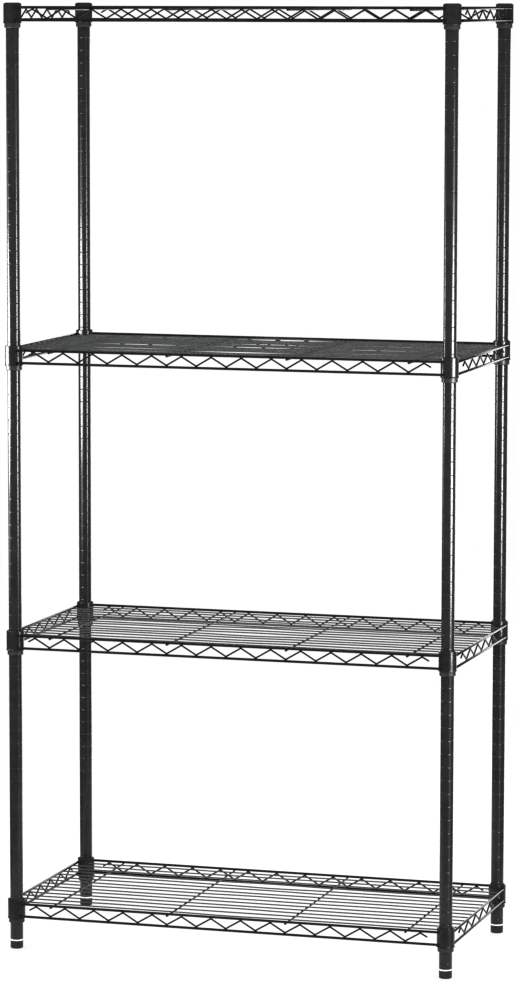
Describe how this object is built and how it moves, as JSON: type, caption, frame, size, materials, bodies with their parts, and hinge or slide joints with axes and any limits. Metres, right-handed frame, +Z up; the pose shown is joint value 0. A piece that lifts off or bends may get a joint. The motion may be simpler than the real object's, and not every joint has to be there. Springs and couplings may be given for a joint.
{
  "type": "wire shelving rack",
  "caption": "Free-standing rack of welded wire shelves on grooved corner posts, with split sleeves under the shelf collars and levelling feet.",
  "frame": {"origin": "on the floor, under the middle of the rack", "axes": "+Z up, +X to the right along the shelves, +Y from the front to the rear"},
  "size_m": [0.9076, 0.4516, 1.8524],
  "materials": {
    "post_coat": "semi-gloss black coating",
    "wire_coat": "semi-gloss black coating",
    "collar_coat": "semi-gloss black coating",
    "sleeve_plastic": "moulded satin",
    "cap_plastic": "moulded satin",
    "foot_plastic": "moulded satin",
    "connector_plastic": "moulded satin",
    "zinc": "bright zinc plate"
  },
  "bodies": {
    "frame": {"post_lower_front_left": "post_coat", "post_upper_front_left": "post_coat", "post_cap_front_left": "cap_plastic", "foot_insert_front_left": "zinc", "post_lower_front_right": "post_coat", "post_upper_front_right": "post_coat", "post_cap_front_right": "cap_plastic", "foot_insert_front_right": "zinc", "post_lower_rear_left": "post_coat", "post_upper_rear_left": "post_coat", "post_cap_rear_left": "cap_plastic", "foot_insert_rear_left": "zinc", "post_lower_rear_right": "post_coat", "post_upper_rear_right": "post_coat", "post_cap_rear_right": "cap_plastic", "foot_insert_rear_right": "zinc", "post_connectors": "connector_plastic", "shelf_one_split_sleeves": "sleeve_plastic", "shelf_two_split_sleeves": "sleeve_plastic", "shelf_three_split_sleeves": "sleeve_plastic", "shelf_four_split_sleeves": "sleeve_plastic"},
    "shelf_one": {"shelf_one_front_truss": "wire_coat", "shelf_one_rear_truss": "wire_coat", "shelf_one_left_truss": "wire_coat", "shelf_one_right_truss": "wire_coat", "shelf_one_deck_wires": "wire_coat", "shelf_one_cross_wires": "wire_coat", "shelf_one_collars": "collar_coat"},
    "shelf_two": {"shelf_two_front_truss": "wire_coat", "shelf_two_rear_truss": "wire_coat", "shelf_two_left_truss": "wire_coat", "shelf_two_right_truss": "wire_coat", "shelf_two_deck_wires": "wire_coat", "shelf_two_cross_wires": "wire_coat", "shelf_two_collars": "collar_coat"},
    "shelf_three": {"shelf_three_front_truss": "wire_coat", "shelf_three_rear_truss": "wire_coat", "shelf_three_left_truss": "wire_coat", "shelf_three_right_truss": "wire_coat", "shelf_three_deck_wires": "wire_coat", "shelf_three_cross_wires": "wire_coat", "shelf_three_collars": "collar_coat"},
    "shelf_four": {"shelf_four_front_truss": "wire_coat", "shelf_four_rear_truss": "wire_coat", "shelf_four_left_truss": "wire_coat", "shelf_four_right_truss": "wire_coat", "shelf_four_deck_wires": "wire_coat", "shelf_four_cross_wires": "wire_coat", "shelf_four_collars": "collar_coat"},
    "foot_front_left": {"foot_pad_front_left": "foot_plastic"},
    "stud_front_left": {"foot_stud_front_left": "zinc"},
    "foot_front_right": {"foot_pad_front_right": "foot_plastic"},
    "stud_front_right": {"foot_stud_front_right": "zinc"},
    "foot_rear_left": {"foot_pad_rear_left": "foot_plastic"},
    "stud_rear_left": {"foot_stud_rear_left": "zinc"},
    "foot_rear_right": {"foot_pad_rear_right": "foot_plastic"},
    "stud_rear_right": {"foot_stud_rear_right": "zinc"}
  },
  "joints": [
    {"name": "shelf_one_lift", "type": "slide", "parent": "frame", "child": "shelf_one", "axis": [0, 0, 1], "range_m": [0, 0.48]},
    {"name": "shelf_two_lift", "type": "slide", "parent": "frame", "child": "shelf_two", "axis": [0, 0, 1], "range_m": [0, 0.505]},
    {"name": "shelf_three_lift", "type": "slide", "parent": "frame", "child": "shelf_three", "axis": [0, 0, 1], "range_m": [0, 0.607]},
    {"name": "shelf_four_lift", "type": "slide", "parent": "frame", "child": "shelf_four", "axis": [0, 0, 1], "range_m": [0, 0.06]},
    {"name": "foot_travel_front_left", "type": "slide", "parent": "frame", "child": "foot_front_left", "axis": [0, 0, -1], "range_m": [0, 0.01905]},
    {"name": "foot_screw_front_left", "type": "hinge", "parent": "foot_front_left", "child": "stud_front_left", "pos_m": [-0.436, -0.208, 0.015], "axis": [0, 0, -1], "range_deg": [0, 4325]},
    {"name": "foot_travel_front_right", "type": "slide", "parent": "frame", "child": "foot_front_right", "axis": [0, 0, -1], "range_m": [0, 0.01905]},
    {"name": "foot_screw_front_right", "type": "hinge", "parent": "foot_front_right", "child": "stud_front_right", "pos_m": [0.436, -0.208, 0.015], "axis": [0, 0, -1], "range_deg": [0, 4325]},
    {"name": "foot_travel_rear_left", "type": "slide", "parent": "frame", "child": "foot_rear_left", "axis": [0, 0, -1], "range_m": [0, 0.01905]},
    {"name": "foot_screw_rear_left", "type": "hinge", "parent": "foot_rear_left", "child": "stud_rear_left", "pos_m": [-0.436, 0.208, 0.015], "axis": [0, 0, -1], "range_deg": [0, 4325]},
    {"name": "foot_travel_rear_right", "type": "slide", "parent": "frame", "child": "foot_rear_right", "axis": [0, 0, -1], "range_m": [0, 0.01905]},
    {"name": "foot_screw_rear_right", "type": "hinge", "parent": "foot_rear_right", "child": "stud_rear_right", "pos_m": [0.436, 0.208, 0.015], "axis": [0, 0, -1], "range_deg": [0, 4325]}
  ],
  "couplings": [
    {"joint": "foot_screw_front_left", "follows": "foot_travel_front_left", "rad_per_m": 3957.9},
    {"joint": "foot_screw_front_right", "follows": "foot_travel_front_right", "rad_per_m": 3957.9},
    {"joint": "foot_screw_rear_left", "follows": "foot_travel_rear_left", "rad_per_m": 3957.9},
    {"joint": "foot_screw_rear_right", "follows": "foot_travel_rear_right", "rad_per_m": 3957.9}
  ]
}
